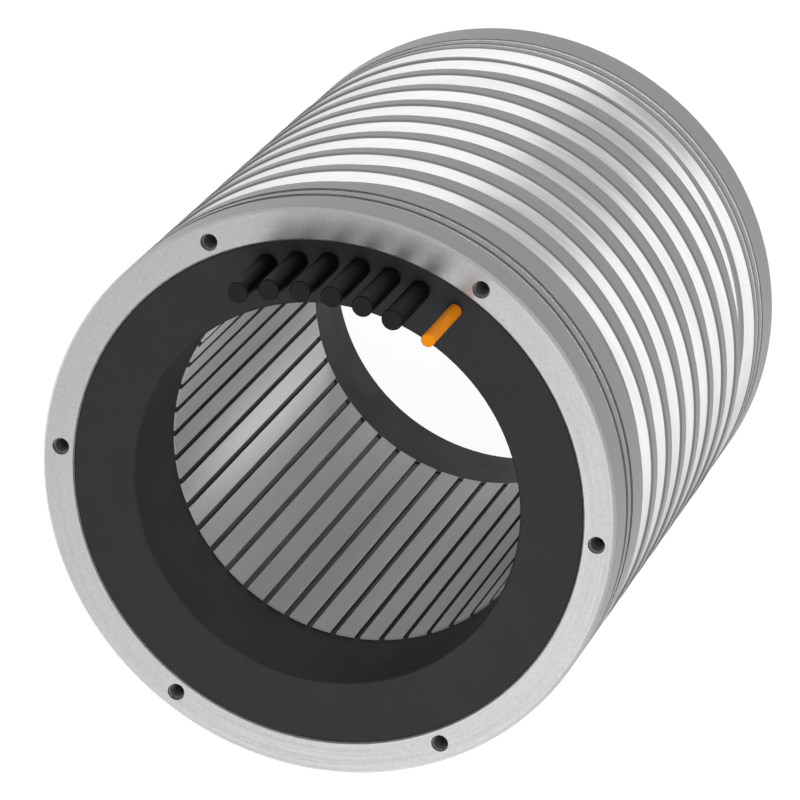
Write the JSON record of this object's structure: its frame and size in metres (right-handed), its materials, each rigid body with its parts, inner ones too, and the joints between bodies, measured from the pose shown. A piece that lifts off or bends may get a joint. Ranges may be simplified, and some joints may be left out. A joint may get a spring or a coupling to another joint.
{
  "type": "frameless motor stator",
  "caption": "Stator assembly of a frameless spindle motor: potted winding in a lamination stack, inside a turned jacket with a helical cooling groove.",
  "frame": {"origin": "centre of the rear face, on the motor axis", "axes": "+Z along the motor axis towards the lead end, +X through a tapped hole, +Y through the middle of the six phase leads"},
  "size_m": [0.2, 0.2, 0.2655],
  "materials": {
    "jacket_aluminium": "fine turned, satin",
    "lamination_steel": "stacked sheet edges, ground bore",
    "liner_paper": "matte insulating paper",
    "wedge_composite": "matte glass-fibre laminate",
    "enamelled_copper": "enamelled magnet wire, glossy",
    "potting_resin": "cast resin, matte",
    "lead_rubber": "matte cable sheath",
    "tinned_strand": "tinned strand",
    "tinned_copper": "tinned crimp sleeve",
    "sensor_rubber": "matte silicone sheath",
    "sensor_glass": "glass bead"
  },
  "bodies": {
    "root": {"cooling_jacket": "jacket_aluminium", "lamination_stack": "lamination_steel", "slot_liners": "liner_paper", "slot_wedges": "wedge_composite", "coil_u1": "enamelled_copper", "coil_u2": "enamelled_copper", "coil_u3": "enamelled_copper", "coil_u4": "enamelled_copper", "coil_v1": "enamelled_copper", "coil_v2": "enamelled_copper", "coil_v3": "enamelled_copper", "coil_v4": "enamelled_copper", "coil_w1": "enamelled_copper", "coil_w2": "enamelled_copper", "coil_w3": "enamelled_copper", "coil_w4": "enamelled_copper", "links_u": "enamelled_copper", "links_v": "enamelled_copper", "links_w": "enamelled_copper", "front_potting": "potting_resin", "rear_potting": "potting_resin", "lead_u1": "lead_rubber", "lead_u2": "lead_rubber", "lead_v1": "lead_rubber", "lead_v2": "lead_rubber", "lead_w1": "lead_rubber", "lead_w2": "lead_rubber", "conductor_u1": "tinned_strand", "conductor_u2": "tinned_strand", "conductor_v1": "tinned_strand", "conductor_v2": "tinned_strand", "conductor_w1": "tinned_strand", "conductor_w2": "tinned_strand", "crimp_sleeves": "tinned_copper", "sensor_lead": "sensor_rubber", "sensor_wires": "tinned_strand", "temperature_sensor": "sensor_glass"}
  },
  "joints": []
}
